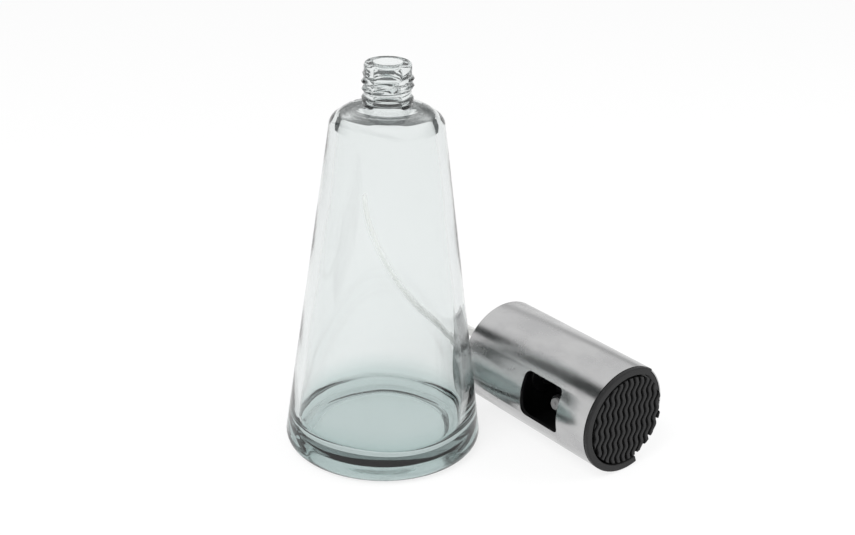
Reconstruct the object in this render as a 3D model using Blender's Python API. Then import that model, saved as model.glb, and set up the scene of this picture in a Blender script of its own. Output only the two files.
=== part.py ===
"""Oil sprayer: a cone-shaped bottle of pressed glass, with its pump head lying beside it.

The bottle stands on the table. The head is a steel sleeve round a finger pump. It lies on its
side next to the bottle, as it does when the bottle is being filled, with the ribbed button at
the front, the spray window to the left and the dip tube curling up behind. The origin is on the
table, in the middle of the room that the two take up together. All sizes are in metres.
"""
import cmath
import math

import bmesh
import bpy
from mathutils import Matrix, Vector

# Clearances between pieces
SEAT_GAP = 0.0003            # between faces that press on each other
FIT_GAP = 0.0003             # radial, round a piece that is held
SLIDE_GAP = 0.0004           # radial, round a piece that slides

# The bottle, from the table up
BOTTLE_HEIGHT = 0.1601
FOOT_RADIUS = 0.0408         # the cone, carried down to the table
HEEL_ROUND = 0.0064
SHOULDER_RADIUS = 0.0220     # the cone, carried up to the shoulder's slope
SHOULDER_HEIGHT = 0.1380
SHOULDER_ROUND = 0.0052
DOME_RADIUS = 0.0157         # where the shoulder flattens towards the neck
DOME_HEIGHT = 0.1427
NECK_ROOT_HEIGHT = 0.1433
NECK_RADIUS = 0.0091
BEAD_RADIUS = 0.0099         # the ring below the thread
BEAD_HEIGHT = 0.1458
BEAD_THICKNESS = 0.0018
LIP_ROUND = 0.0014
BORE_RADIUS = 0.0056
THREAD_CREST_RADIUS = 0.0100
GLASS_WALL = 0.0028
BASE_THICKNESS = 0.0058
FLOOR_ROUND = 0.0060
PUSH_UP = 0.0022
BEARING_WIDTH = 0.0040

# The head, along its axis from the open end (0) to the button
SLEEVE_RADIUS = 0.02258
SLEEVE_LENGTH = 0.07385
STEEL_WALL = 0.0005
WINDOW_START = 0.0363
WINDOW_LENGTH = 0.0217
WINDOW_WIDTH = 0.0198
WINDOW_CORNER = 0.0026
WINDOW_MARGIN = 0.0004       # the liner's window is this much larger all round
FINGER_ANGLE = math.radians(131.0)
FINGER_DEPTH = 0.0020
RIM_STAND = 0.0020
RIM_WIDTH = 0.0030
GUIDE_LENGTH = 0.0138
LINER_WALL = 0.0013
LINER_INSET = 0.0006
BULKHEAD_THICKNESS = 0.0016
SOCKET_WALL = 0.0012
SOCKET_DEPTH = 0.0120

# The screw closure and what it clamps
LIP_SEAT = 0.0190            # where the bottle's lip comes when the head is screwed on
CLOSURE_START = 0.0055
CLOSURE_WALL = 0.0022
DECK_THICKNESS = 0.0020
GASKET_RADIUS = 0.0086
GASKET_THICKNESS = 0.0012
FLANGE_RADIUS = 0.0082
FLANGE_THICKNESS = 0.0014

# The pump
CHAMBER_RADIUS = 0.00345
CHAMBER_WALL = 0.00085
PRESSED_SPRING = 0.0040      # the room that the spring keeps when the button is down
RECESS_DEPTH = 0.0044        # the wider mouth that takes the collar's spigot
RECESS_RADIUS = 0.0039
BALL_RADIUS = 0.0017
BALL_CAGE_DEPTH = 0.0023
SEAT_RADIUS = 0.0010
SEAT_DEPTH = 0.0010
THROAT_LENGTH = 0.0012
TUBE_SOCKET_DEPTH = 0.0060
TUBE_SOCKET_WALL = 0.0012
TUBE_RADIUS = 0.0020
TUBE_BORE = 0.0013
TUBE_STRAIGHT = 0.0300       # from the tube's top to the start of its curl
TUBE_ARC_LENGTH = 0.0865
TUBE_CURL_RADIUS = 0.0900
STEM_RADIUS = 0.0019
STEM_BORE = 0.0008
STEM_FOOT = 0.0020
STEM_FOOT_RADIUS = 0.0029
STEM_FOOT_THICKNESS = 0.0016
STEM_TOP = 0.0447
OUTLET_BALL_RADIUS = 0.0010
OUTLET_CAGE_RADIUS = 0.0013
OUTLET_CAGE_DEPTH = 0.0030
PISTON_LENGTH = 0.0060
PISTON_LIP = 0.0008
SEAL_THICKNESS = 0.0012
SPRING_COIL_RADIUS = 0.0026
SPRING_WIRE_RADIUS = 0.00025
SPRING_TURNS = 6
COLLAR_NECK_RADIUS = 0.0045
COLLAR_FLANGE_RADIUS = 0.0080
COLLAR_FLANGE_THICKNESS = 0.0014
COLLAR_BOSS_RADIUS = 0.0036
COLLAR_BOSS_TOP = 0.0305

# The button, its pad and the spray arm that it pushes down
PRESS_TRAVEL = 0.0060
BUTTON_WALL = 0.0016
BUTTON_DECK = 0.0018
BUTTON_SKIRT = 0.0147
BUTTON_BOSS_RADIUS = 0.0042
PAD_RADIUS = 0.0187
PAD_BASE = 0.0012
RIB_HEIGHT = 0.0011
RIB_PITCH = 0.0030
RIB_ROOT_WIDTH = 0.0021
RIB_CREST_WIDTH = 0.0011
RIB_WAVE_LENGTH = 0.0070
RIB_WAVE_SWING = 0.0006
NOZZLE_HEIGHT = 0.0515       # the nozzle's place along the head, at rest
NOZZLE_TIP = 0.0176
NOZZLE_STAND = 0.0012
NOZZLE_RADIUS = 0.00245
NOZZLE_WALL = 0.00095
NOZZLE_LENGTH = 0.0051
ORIFICE_RADIUS = 0.00025
ARM_POST_RADIUS = 0.0042
ARM_CLEARANCE = 0.0010       # between the arm's post and the collar when the button is down
ARM_BARREL_RADIUS = 0.0036
ARM_CHANNEL_RADIUS = 0.0008
SWIRL_PIN_RADIUS = 0.0012
SWIRL_PIN_LENGTH = 0.0058
SWIRL_PIN_ROOT = 0.0040      # how far the pin reaches into the arm

# How the head lies beside the bottle, from the bottle's axis
HEAD_OFFSET = 0.0627
OPEN_END_OFFSET = -0.0033
HEAD_ROLL = math.radians(174.0)

# Facets round a turned piece, and along its rounded edges
BOTTLE_FACETS = 40
SLEEVE_FACETS = 40
MIDDLE_FACETS = 28
SMALL_FACETS = 18
WAVE_STEPS = 4               # along one wave of a rib
TUBE_SIDES = 10
TUBE_STEPS = 16
WIRE_SIDES = 6
COIL_STEPS = 10              # round one turn of the spring
ARC_STEP = 30                # degrees
CHAMFER_BELOW = 0.0009       # a smaller radius is one facet

# Heights along the head that follow from the sizes above
WINDOW_END = WINDOW_START + WINDOW_LENGTH
RIM_TOP = SLEEVE_LENGTH + RIM_STAND
LINER_RADIUS = SLEEVE_RADIUS - STEEL_WALL - FIT_GAP
GUIDE_RADIUS = SLEEVE_RADIUS - RIM_WIDTH
GUIDE_BOTTOM = SLEEVE_LENGTH + SEAT_GAP - GUIDE_LENGTH
CHAMBER_FLOOR = STEM_FOOT - PRESS_TRAVEL - PRESSED_SPRING
ARM_POST_START = COLLAR_BOSS_TOP + PRESS_TRAVEL + ARM_CLEARANCE
GASKET_TOP = LIP_SEAT + GASKET_THICKNESS
FLANGE_BOTTOM = GASKET_TOP + SEAT_GAP
FLANGE_TOP = FLANGE_BOTTOM + FLANGE_THICKNESS
DECK_BOTTOM = FLANGE_TOP + SEAT_GAP
DECK_TOP = DECK_BOTTOM + DECK_THICKNESS
BULKHEAD_BOTTOM = DECK_TOP + SEAT_GAP
BULKHEAD_TOP = BULKHEAD_BOTTOM + BULKHEAD_THICKNESS
CHAMBER_OUTER = CHAMBER_RADIUS + CHAMBER_WALL
COLLAR_SPIGOT_BOTTOM = FLANGE_TOP - RECESS_DEPTH + SEAT_GAP
CLOSURE_BORE = THREAD_CREST_RADIUS + SLIDE_GAP
CLOSURE_RADIUS = CLOSURE_BORE + CLOSURE_WALL
CAGE_BOTTOM = CHAMBER_FLOOR - BALL_CAGE_DEPTH
THROAT_TOP = CAGE_BOTTOM - SEAT_DEPTH
THROAT_BOTTOM = THROAT_TOP - THROAT_LENGTH
TUBE_TOP = THROAT_BOTTOM - SEAT_GAP
TUBE_SOCKET_BOTTOM = THROAT_BOTTOM - TUBE_SOCKET_DEPTH
PAD_CREST = RIM_TOP
PAD_BOTTOM = PAD_CREST - RIB_HEIGHT - PAD_BASE
BUTTON_TOP = PAD_BOTTOM - SEAT_GAP
BUTTON_BOTTOM = BUTTON_TOP - BUTTON_SKIRT
BUTTON_RADIUS = GUIDE_RADIUS - SLIDE_GAP
ARM_TOP = NOZZLE_HEIGHT + ARM_BARREL_RADIUS + BUTTON_DECK
PISTON_BOTTOM = STEM_FOOT + STEM_FOOT_THICKNESS + SEAT_GAP
BARREL_END = NOZZLE_TIP - NOZZLE_STAND
NOZZLE_BACK = NOZZLE_TIP - NOZZLE_LENGTH

# Where the two stand, so that the origin is in the middle of the room they take up
CURL_ANGLE = TUBE_ARC_LENGTH / TUBE_CURL_RADIUS
TUBE_END_OFFSET = (OPEN_END_OFFSET - TUBE_TOP + TUBE_STRAIGHT
                   + TUBE_CURL_RADIUS * math.sin(CURL_ANGLE) + TUBE_RADIUS * math.sin(CURL_ANGLE))
BOTTLE_X = (FOOT_RADIUS - HEAD_OFFSET - SLEEVE_RADIUS) / 2
BOTTLE_Y = -(TUBE_END_OFFSET + OPEN_END_OFFSET - RIM_TOP) / 2
HEAD_X = BOTTLE_X + HEAD_OFFSET
OPEN_END_Y = BOTTLE_Y + OPEN_END_OFFSET


def clear_scene():
    """Remove what the file starts with."""
    for old in list(bpy.data.objects):
        bpy.data.objects.remove(old)


def finish(name, colour, roughness, metallic=0.0):
    """A Principled material in one colour."""
    material = bpy.data.materials.new(name)
    material.use_nodes = True
    shader = material.node_tree.nodes["Principled BSDF"]
    shader.inputs["Base Color"].default_value = (*colour, 1.0)
    shader.inputs["Roughness"].default_value = roughness
    shader.inputs["Metallic"].default_value = metallic
    return material


def frame(name, location, rotation=(0.0, 0.0, 0.0), parent=None):
    """An empty that carries the pieces of one group."""
    empty = bpy.data.objects.new(name, None)
    empty.location = location
    empty.rotation_euler = rotation
    empty.parent = parent
    bpy.context.collection.objects.link(empty)
    return empty


def add_object(name, mesh_maker, material=None, parent=None):
    """A named object from a bmesh, shaded smooth up to its sharp edges."""
    bmesh.ops.recalc_face_normals(mesh_maker, faces=mesh_maker.faces)
    if mesh_maker.calc_volume(signed=True) < 0.0:
        bmesh.ops.reverse_faces(mesh_maker, faces=mesh_maker.faces)
    mesh = bpy.data.meshes.new(name)
    mesh_maker.to_mesh(mesh)
    mesh_maker.free()
    mesh.shade_smooth()
    mesh.set_sharp_from_angle(angle=math.radians(35))
    made = bpy.data.objects.new(name, mesh)
    made.parent = parent
    if material:
        mesh.materials.append(material)
    bpy.context.collection.objects.link(made)
    return made


def boolean(piece, other, operation="DIFFERENCE"):
    """Cut a piece with a hidden cutter, join it or keep what they share."""
    modifier = piece.modifiers.new(other.name, "BOOLEAN")
    modifier.operation = operation
    modifier.solver = "EXACT"
    modifier.object = other
    other.hide_render = True
    other.display_type = "WIRE"


def rounded(corners, closed=True):
    """Turn corners (across, along, radius) into an outline, each radius as an arc."""
    outline = []
    count = len(corners)
    for i, corner in enumerate(corners):
        radius = corner[2] if len(corner) > 2 else 0.0
        at_end = not closed and i in (0, count - 1)
        if radius == 0.0 or at_end:
            outline.append(corner[:2])
            continue
        here = complex(*corner[:2])
        back = complex(*corners[i - 1][:2]) - here
        ahead = complex(*corners[(i + 1) % count][:2]) - here
        turn = math.pi - abs(cmath.phase(ahead / back))
        reach = min(radius * math.tan(turn / 2), 0.48 * abs(back), 0.48 * abs(ahead))
        radius = reach / math.tan(turn / 2)
        start = here + back / abs(back) * reach
        end = here + ahead / abs(ahead) * reach
        inwards = back / abs(back) + ahead / abs(ahead)
        middle = here + inwards / abs(inwards) * radius / math.cos(turn / 2)
        sweep = cmath.phase((end - middle) / (start - middle))
        steps = 1 if radius < CHAMFER_BELOW else max(2, round(math.degrees(turn) / ARC_STEP))
        for step in range(steps + 1):
            spot = middle + (start - middle) * cmath.exp(1j * sweep * step / steps)
            outline.append((spot.real, spot.imag))
    return outline


def block(inner, outer, low, high, edge=0.0):
    """The outline of a plain ring or disc, with its edges rounded."""
    if inner == 0.0:
        return rounded([(0.0, low), (outer, low, edge), (outer, high, edge), (0.0, high)], False)
    return rounded([(inner, low, edge), (outer, low, edge), (outer, high, edge), (inner, high, edge)])


def turned_mesh(outline, facets):
    """Spin an outline (radius, height) about the Z axis into a closed solid."""
    maker = bmesh.new()
    points = [maker.verts.new((radius, 0.0, height)) for radius, height in outline]
    edges = [maker.edges.new(pair) for pair in zip(points, points[1:])]
    if outline[0][0] > 0.0:
        edges.append(maker.edges.new((points[-1], points[0])))
    bmesh.ops.spin(maker, geom=points + edges, axis=(0, 0, 1), cent=(0, 0, 0), steps=facets,
                   angle=2 * math.pi, use_merge=True)
    bmesh.ops.remove_doubles(maker, verts=maker.verts, dist=1e-6)
    return maker


def turned(name, outline, facets, material=None, parent=None):
    """A turned piece."""
    return add_object(name, turned_mesh(outline, facets), material, parent)


def prism_mesh(outline, low, high):
    """Extrude a flat outline (x, y) from one height to another."""
    maker = bmesh.new()
    floor = maker.faces.new([maker.verts.new((x, y, low)) for x, y in outline])
    grown = bmesh.ops.extrude_face_region(maker, geom=[floor])
    moved = [item for item in grown["geom"] if isinstance(item, bmesh.types.BMVert)]
    bmesh.ops.translate(maker, verts=moved, vec=(0, 0, high - low))
    return maker


def swept_mesh(path, section, closed_ends=True):
    """Carry a section of (side, up) points along a path that stays off the Z direction's poles."""
    maker = bmesh.new()
    rings = []
    for i, point in enumerate(path):
        ahead = path[min(i + 1, len(path) - 1)] - path[max(i - 1, 0)]
        side = ahead.cross(Vector((0, 0, 1))).normalized()
        up = side.cross(ahead).normalized()
        rings.append([maker.verts.new(point + side * x + up * y) for x, y in section])
    for ring, following in zip(rings, rings[1:]):
        for k in range(len(section)):
            j = (k + 1) % len(section)
            maker.faces.new((ring[k], ring[j], following[j], following[k]))
    if closed_ends:
        maker.faces.new(rings[0])
        maker.faces.new(reversed(rings[-1]))
    return maker


def circle(radius, count):
    """Points of a circle."""
    turns = [2 * math.pi * k / count for k in range(count)]
    return [(radius * math.cos(turn), radius * math.sin(turn)) for turn in turns]


def inset(before, corner, after, wall):
    """The corner of a wall's inner face, behind a corner of its outer face."""
    a, b, c = Vector(before), Vector(corner), Vector(after)
    first = (b - a).normalized()
    second = (c - b).normalized()
    normal = Vector((-first.y, first.x))
    following = Vector((-second.y, second.x))
    mitre = (normal + following).normalized()
    return tuple(b + mitre * wall / mitre.dot(normal))


def bottle_outline():
    """The glass in section: push-up, heel, cone, shoulder, neck, lip and the inside."""
    bearing_outer = FOOT_RADIUS - HEEL_ROUND
    bearing_inner = bearing_outer - BEARING_WIDTH
    foot = (FOOT_RADIUS, 0.0)
    shoulder = (SHOULDER_RADIUS, SHOULDER_HEIGHT)
    dome = (DOME_RADIUS, DOME_HEIGHT)
    root = (NECK_RADIUS, NECK_ROOT_HEIGHT)
    bead_low = BEAD_HEIGHT - BEAD_THICKNESS / 2
    bead_high = BEAD_HEIGHT + BEAD_THICKNESS / 2
    bead_round = BEAD_THICKNESS * 0.45
    floor = PUSH_UP + BASE_THICKNESS
    inner_shoulder = inset(foot, shoulder, dome, GLASS_WALL)
    inner_dome = inset(shoulder, dome, root, GLASS_WALL)
    slope = (SHOULDER_RADIUS - FOOT_RADIUS) / SHOULDER_HEIGHT
    inner_foot_radius = inner_shoulder[0] + slope * (floor - inner_shoulder[1])
    inner_neck = inner_dome[1] + (inner_dome[0] - BORE_RADIUS) * (
        (NECK_ROOT_HEIGHT - DOME_HEIGHT) / (DOME_RADIUS - NECK_RADIUS))
    return rounded([
        (0.0, PUSH_UP),
        (bearing_inner - 2 * PUSH_UP, PUSH_UP, 0.004),
        (bearing_inner, 0.0, 0.0008),
        (*foot, HEEL_ROUND),
        (*shoulder, SHOULDER_ROUND),
        (*dome, 0.012),
        (*root, 0.0018),
        (NECK_RADIUS, bead_low, 0.0003),
        (BEAD_RADIUS, bead_low, bead_round),
        (BEAD_RADIUS, bead_high, bead_round),
        (NECK_RADIUS, bead_high, 0.0003),
        (NECK_RADIUS, BOTTLE_HEIGHT, LIP_ROUND),
        (BORE_RADIUS, BOTTLE_HEIGHT, 0.0006),
        (BORE_RADIUS, inner_neck, 0.0025),
        (*inner_dome, 0.009),
        (*inner_shoulder, 0.004),
        (inner_foot_radius, floor, FLOOR_ROUND),
        (0.0, floor),
    ], False)


def make_bottle(glass):
    """The glass bottle, standing on the ring round its push-up."""
    bottle = turned("bottle", bottle_outline(), BOTTLE_FACETS, glass)
    bottle.location = (BOTTLE_X, BOTTLE_Y, 0.0)


def window_cutter(name, margin, parent):
    """A rounded block that cuts the spray window through one side of a tube."""
    across = WINDOW_WIDTH / 2 + margin
    low = WINDOW_START - margin
    high = WINDOW_END + margin
    corner = WINDOW_CORNER + margin
    outline = rounded([(-across, low, corner), (across, low, corner),
                       (across, high, corner), (-across, high, corner)])
    cutter = add_object(name, prism_mesh(outline, SLEEVE_RADIUS / 2, SLEEVE_RADIUS * 1.5), None, parent)
    cutter.data.transform(Matrix(((0, 0, 1, 0), (1, 0, 0, 0), (0, 1, 0, 0), (0, 0, 0, 1))))
    return cutter


def finger_cutter(name, parent):
    """A wedge that lowers the rim opposite the window, so a finger can push the button flush."""
    steps = 12
    reach = SLEEVE_RADIUS * 1.3
    outline = [(0.0, 0.0)]
    for step in range(steps + 1):
        turn = math.pi + FINGER_ANGLE * (step / steps - 0.5)
        outline.append((reach * math.cos(turn), reach * math.sin(turn)))
    low = SLEEVE_LENGTH - FINGER_DEPTH
    return add_object(name, prism_mesh(outline, low, RIM_TOP + FINGER_DEPTH), None, parent)


def make_casing(head, steel, black):
    """The steel sleeve, the liner inside it and the rim that guides the button."""
    inner = SLEEVE_RADIUS - STEEL_WALL
    sleeve = turned("steel_sleeve", block(inner, SLEEVE_RADIUS, 0.0, SLEEVE_LENGTH),
                    SLEEVE_FACETS, steel, head)
    boolean(sleeve, window_cutter("sleeve_window", 0.0, head))
    boolean(sleeve, finger_cutter("sleeve_finger_cut", head))

    bore = LINER_RADIUS - LINER_WALL
    hole = COLLAR_NECK_RADIUS + FIT_GAP
    socket_bore = CLOSURE_RADIUS + FIT_GAP
    socket_outer = socket_bore + SOCKET_WALL
    socket_bottom = BULKHEAD_BOTTOM - SOCKET_DEPTH
    liner_top = GUIDE_BOTTOM - SEAT_GAP
    liner = turned("sleeve_liner", rounded([
        (LINER_RADIUS, LINER_INSET, 0.0003),
        (LINER_RADIUS, liner_top),
        (bore, liner_top),
        (bore, BULKHEAD_TOP),
        (hole, BULKHEAD_TOP),
        (hole, BULKHEAD_BOTTOM),
        (socket_bore, BULKHEAD_BOTTOM),
        (socket_bore, socket_bottom),
        (socket_outer, socket_bottom),
        (socket_outer, BULKHEAD_BOTTOM),
        (bore, BULKHEAD_BOTTOM),
        (bore, LINER_INSET),
    ]), SLEEVE_FACETS, black, head)
    boolean(liner, window_cutter("liner_window", WINDOW_MARGIN, head))

    seat = SLEEVE_LENGTH + SEAT_GAP
    rim = turned("top_rim", rounded([
        (GUIDE_RADIUS, GUIDE_BOTTOM),
        (LINER_RADIUS, GUIDE_BOTTOM),
        (LINER_RADIUS, seat),
        (SLEEVE_RADIUS, seat),
        (SLEEVE_RADIUS, RIM_TOP, 0.0006),
        (GUIDE_RADIUS, RIM_TOP, 0.0004),
    ]), SLEEVE_FACETS, black, head)
    boolean(rim, finger_cutter("rim_finger_cut", head))


def make_closure(head, black, rubber):
    """The screw closure and the gasket that seals on the bottle's lip."""
    hole = COLLAR_NECK_RADIUS + FIT_GAP
    turned("screw_closure", rounded([
        (CLOSURE_BORE, CLOSURE_START, 0.0004),
        (CLOSURE_RADIUS, CLOSURE_START, 0.0004),
        (CLOSURE_RADIUS, DECK_TOP, 0.0006),
        (hole, DECK_TOP),
        (hole, DECK_BOTTOM),
        (CLOSURE_BORE, DECK_BOTTOM, 0.0005),
    ]), MIDDLE_FACETS, black, head)
    turned("neck_gasket", block(CHAMBER_OUTER + FIT_GAP, GASKET_RADIUS, LIP_SEAT, GASKET_TOP),
           MIDDLE_FACETS, rubber, head)


def make_pump_body(head, clear_plastic, black, rubber, ball_steel):
    """The pump's fixed pieces: housing, inlet ball, collar and stem seal."""
    tube_socket = TUBE_RADIUS + FIT_GAP / 2
    nipple = tube_socket + TUBE_SOCKET_WALL
    cage = BALL_RADIUS + FIT_GAP
    recess_floor = FLANGE_TOP - RECESS_DEPTH
    turned("pump_housing", rounded([
        (FLANGE_RADIUS, FLANGE_BOTTOM, 0.0002),
        (FLANGE_RADIUS, FLANGE_TOP, 0.0002),
        (RECESS_RADIUS, FLANGE_TOP),
        (RECESS_RADIUS, recess_floor),
        (CHAMBER_RADIUS, recess_floor),
        (CHAMBER_RADIUS, CHAMBER_FLOOR),
        (cage, CHAMBER_FLOOR),
        (cage, CAGE_BOTTOM),
        (SEAT_RADIUS, THROAT_TOP),
        (SEAT_RADIUS, THROAT_BOTTOM),
        (tube_socket, THROAT_BOTTOM),
        (tube_socket, TUBE_SOCKET_BOTTOM),
        (nipple, TUBE_SOCKET_BOTTOM, 0.0003),
        (nipple, THROAT_BOTTOM, 0.0005),
        (CHAMBER_OUTER, CAGE_BOTTOM, 0.0005),
        (CHAMBER_OUTER, FLANGE_BOTTOM, 0.0004),
    ]), SMALL_FACETS, clear_plastic, head)

    ball_seat = CAGE_BOTTOM + BALL_RADIUS * 0.6
    ball = add_object("inlet_ball", ball_mesh(BALL_RADIUS), ball_steel, head)
    ball.location = (0.0, 0.0, ball_seat)

    bore = STEM_RADIUS + FIT_GAP
    spigot = RECESS_RADIUS - FIT_GAP
    collar_seat = FLANGE_TOP + SEAT_GAP
    flange_low = BULKHEAD_TOP + SEAT_GAP
    flange_high = flange_low + COLLAR_FLANGE_THICKNESS
    turned("retaining_collar", rounded([
        (bore, COLLAR_SPIGOT_BOTTOM),
        (spigot, COLLAR_SPIGOT_BOTTOM, 0.0003),
        (spigot, collar_seat),
        (COLLAR_NECK_RADIUS, collar_seat),
        (COLLAR_NECK_RADIUS, flange_low),
        (COLLAR_FLANGE_RADIUS, flange_low, 0.0003),
        (COLLAR_FLANGE_RADIUS, flange_high, 0.0004),
        (COLLAR_BOSS_RADIUS, flange_high, 0.0006),
        (COLLAR_BOSS_RADIUS, COLLAR_BOSS_TOP, 0.0004),
        (bore, COLLAR_BOSS_TOP),
    ]), SMALL_FACETS, black, head)

    seal_top = COLLAR_SPIGOT_BOTTOM - SEAT_GAP
    turned("stem_seal", block(bore, CHAMBER_RADIUS - FIT_GAP, seal_top - SEAL_THICKNESS, seal_top),
           SMALL_FACETS, rubber, head)


def ball_mesh(radius):
    """A valve ball."""
    maker = bmesh.new()
    bmesh.ops.create_icosphere(maker, subdivisions=2, radius=radius)
    return maker


def make_dip_tube(head_axis, clear_plastic):
    """The dip tube: straight in its socket, then curled as it came off the reel, end up."""
    path = [Vector((0.0, 0.0, TUBE_TOP)), Vector((0.0, 0.0, TUBE_TOP - TUBE_STRAIGHT))]
    for step in range(1, TUBE_STEPS + 1):
        turn = CURL_ANGLE * step / TUBE_STEPS
        path.append(Vector((0.0, TUBE_CURL_RADIUS * (1 - math.cos(turn)),
                            TUBE_TOP - TUBE_STRAIGHT - TUBE_CURL_RADIUS * math.sin(turn))))
    maker = bmesh.new()
    walls = []
    for radius in (TUBE_RADIUS, TUBE_BORE):
        rings = []
        for i, point in enumerate(path):
            turn = CURL_ANGLE * max(i - 1, 0) / TUBE_STEPS
            tilt = Vector((0.0, math.cos(turn), math.sin(turn)))
            rings.append([maker.verts.new(point + Vector((x, 0, 0)) + tilt * y)
                          for x, y in circle(radius, TUBE_SIDES)])
        for ring, following in zip(rings, rings[1:]):
            for k in range(TUBE_SIDES):
                j = (k + 1) % TUBE_SIDES
                maker.faces.new((ring[k], ring[j], following[j], following[k]))
        walls.append(rings)
    for end in (0, -1):
        for k in range(TUBE_SIDES):
            j = (k + 1) % TUBE_SIDES
            maker.faces.new((walls[0][end][k], walls[0][end][j], walls[1][end][j], walls[1][end][k]))
    add_object("dip_tube", maker, clear_plastic, head_axis)


def make_spring(head, spring_steel):
    """The return spring, from the chamber's floor to the stem's foot."""
    low = CHAMBER_FLOOR + SEAT_GAP + SPRING_WIRE_RADIUS
    high = STEM_FOOT - SEAT_GAP - SPRING_WIRE_RADIUS
    path = []
    steps = SPRING_TURNS * COIL_STEPS
    for step in range(steps + 1):
        share = step / steps
        turn = 2 * math.pi * SPRING_TURNS * share
        path.append(Vector((SPRING_COIL_RADIUS * math.cos(turn), SPRING_COIL_RADIUS * math.sin(turn),
                            low + (high - low) * share)))
    add_object("return_spring", swept_mesh(path, circle(SPRING_WIRE_RADIUS, WIRE_SIDES)), spring_steel, head)


def make_stem(slide, clear_plastic, rubber, ball_steel):
    """The hollow stem, the piston on its foot and the outlet ball in its top."""
    cage_floor = STEM_TOP - OUTLET_CAGE_DEPTH
    foot_top = STEM_FOOT + STEM_FOOT_THICKNESS
    turned("pump_stem", rounded([
        (STEM_BORE, STEM_FOOT),
        (STEM_FOOT_RADIUS, STEM_FOOT, 0.0003),
        (STEM_FOOT_RADIUS, foot_top, 0.0003),
        (STEM_RADIUS, foot_top),
        (STEM_RADIUS, STEM_TOP, 0.0002),
        (OUTLET_CAGE_RADIUS, STEM_TOP),
        (OUTLET_CAGE_RADIUS, cage_floor),
        (STEM_BORE, cage_floor - (OUTLET_CAGE_RADIUS - STEM_BORE)),
    ]), SMALL_FACETS, clear_plastic, slide)

    ball = add_object("outlet_ball", ball_mesh(OUTLET_BALL_RADIUS), ball_steel, slide)
    ball.location = (0.0, 0.0, cage_floor + OUTLET_BALL_RADIUS)

    bore = STEM_RADIUS + FIT_GAP
    rim = CHAMBER_RADIUS - FIT_GAP
    top = PISTON_BOTTOM + PISTON_LENGTH
    waist = rim - (rim - bore) * 0.4
    turned("piston", rounded([
        (bore, PISTON_BOTTOM),
        (rim, PISTON_BOTTOM, 0.0002),
        (rim, PISTON_BOTTOM + PISTON_LIP),
        (waist, PISTON_BOTTOM + 2 * PISTON_LIP),
        (waist, top - 2 * PISTON_LIP),
        (rim, top - PISTON_LIP),
        (rim, top, 0.0002),
        (bore, top),
    ]), SMALL_FACETS, rubber, slide)


def make_spray_arm(slide, black, grey_plastic, white_plastic):
    """The elbow on the stem, with the nozzle insert and its swirl pin."""
    across = math.radians(90)
    arm = turned("spray_arm", block(0.0, ARM_POST_RADIUS, ARM_POST_START, ARM_TOP, 0.0005),
                 MIDDLE_FACETS, black, slide)
    barrel = turned("arm_barrel", block(0.0, ARM_BARREL_RADIUS, 0.0, BARREL_END, 0.0004),
                    SMALL_FACETS, None, slide)
    barrel.location = (0.0, 0.0, NOZZLE_HEIGHT)
    barrel.rotation_euler = (0.0, across, 0.0)
    boolean(arm, barrel, "UNION")

    socket = STEM_RADIUS + FIT_GAP
    socket_top = STEM_TOP + SEAT_GAP
    stem_way = turned("stem_way", [
        (0.0, ARM_POST_START - SLEEVE_RADIUS / 4),
        (socket, ARM_POST_START - SLEEVE_RADIUS / 4),
        (socket, socket_top),
        (ARM_CHANNEL_RADIUS, socket_top),
        (ARM_CHANNEL_RADIUS, NOZZLE_HEIGHT),
        (0.0, NOZZLE_HEIGHT),
    ], SMALL_FACETS, None, slide)
    boolean(arm, stem_way)

    pin_bore = SWIRL_PIN_RADIUS + FIT_GAP
    cup = NOZZLE_RADIUS + FIT_GAP
    cup_floor = NOZZLE_BACK - SEAT_GAP
    pin_floor = cup_floor - SWIRL_PIN_ROOT
    spray_way = turned("spray_way", [
        (0.0, 0.0),
        (ARM_CHANNEL_RADIUS * 1.1, 0.0),
        (ARM_CHANNEL_RADIUS * 1.1, pin_floor),
        (pin_bore, pin_floor),
        (pin_bore, cup_floor),
        (cup, cup_floor),
        (cup, NOZZLE_TIP + NOZZLE_STAND),
        (0.0, NOZZLE_TIP + NOZZLE_STAND),
    ], SMALL_FACETS, None, slide)
    spray_way.location = (0.0, 0.0, NOZZLE_HEIGHT)
    spray_way.rotation_euler = (0.0, across, 0.0)
    boolean(arm, spray_way)

    cavity = NOZZLE_RADIUS - NOZZLE_WALL
    cavity_end = NOZZLE_TIP - NOZZLE_WALL
    insert = turned("nozzle_insert", rounded([
        (cavity, NOZZLE_BACK),
        (NOZZLE_RADIUS, NOZZLE_BACK),
        (NOZZLE_RADIUS, NOZZLE_TIP, 0.0006),
        (ORIFICE_RADIUS * 3, NOZZLE_TIP),
        (ORIFICE_RADIUS, NOZZLE_TIP - ORIFICE_RADIUS * 2),
        (ORIFICE_RADIUS, cavity_end),
        (cavity, cavity_end),
    ]), SMALL_FACETS, grey_plastic, slide)
    insert.location = (0.0, 0.0, NOZZLE_HEIGHT)
    insert.rotation_euler = (0.0, across, 0.0)

    pin_back = pin_floor + SEAT_GAP
    pin = turned("swirl_pin", block(0.0, SWIRL_PIN_RADIUS, pin_back, pin_back + SWIRL_PIN_LENGTH, 0.0003),
                 SMALL_FACETS, white_plastic, slide)
    pin.location = (0.0, 0.0, NOZZLE_HEIGHT)
    pin.rotation_euler = (0.0, across, 0.0)


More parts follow.
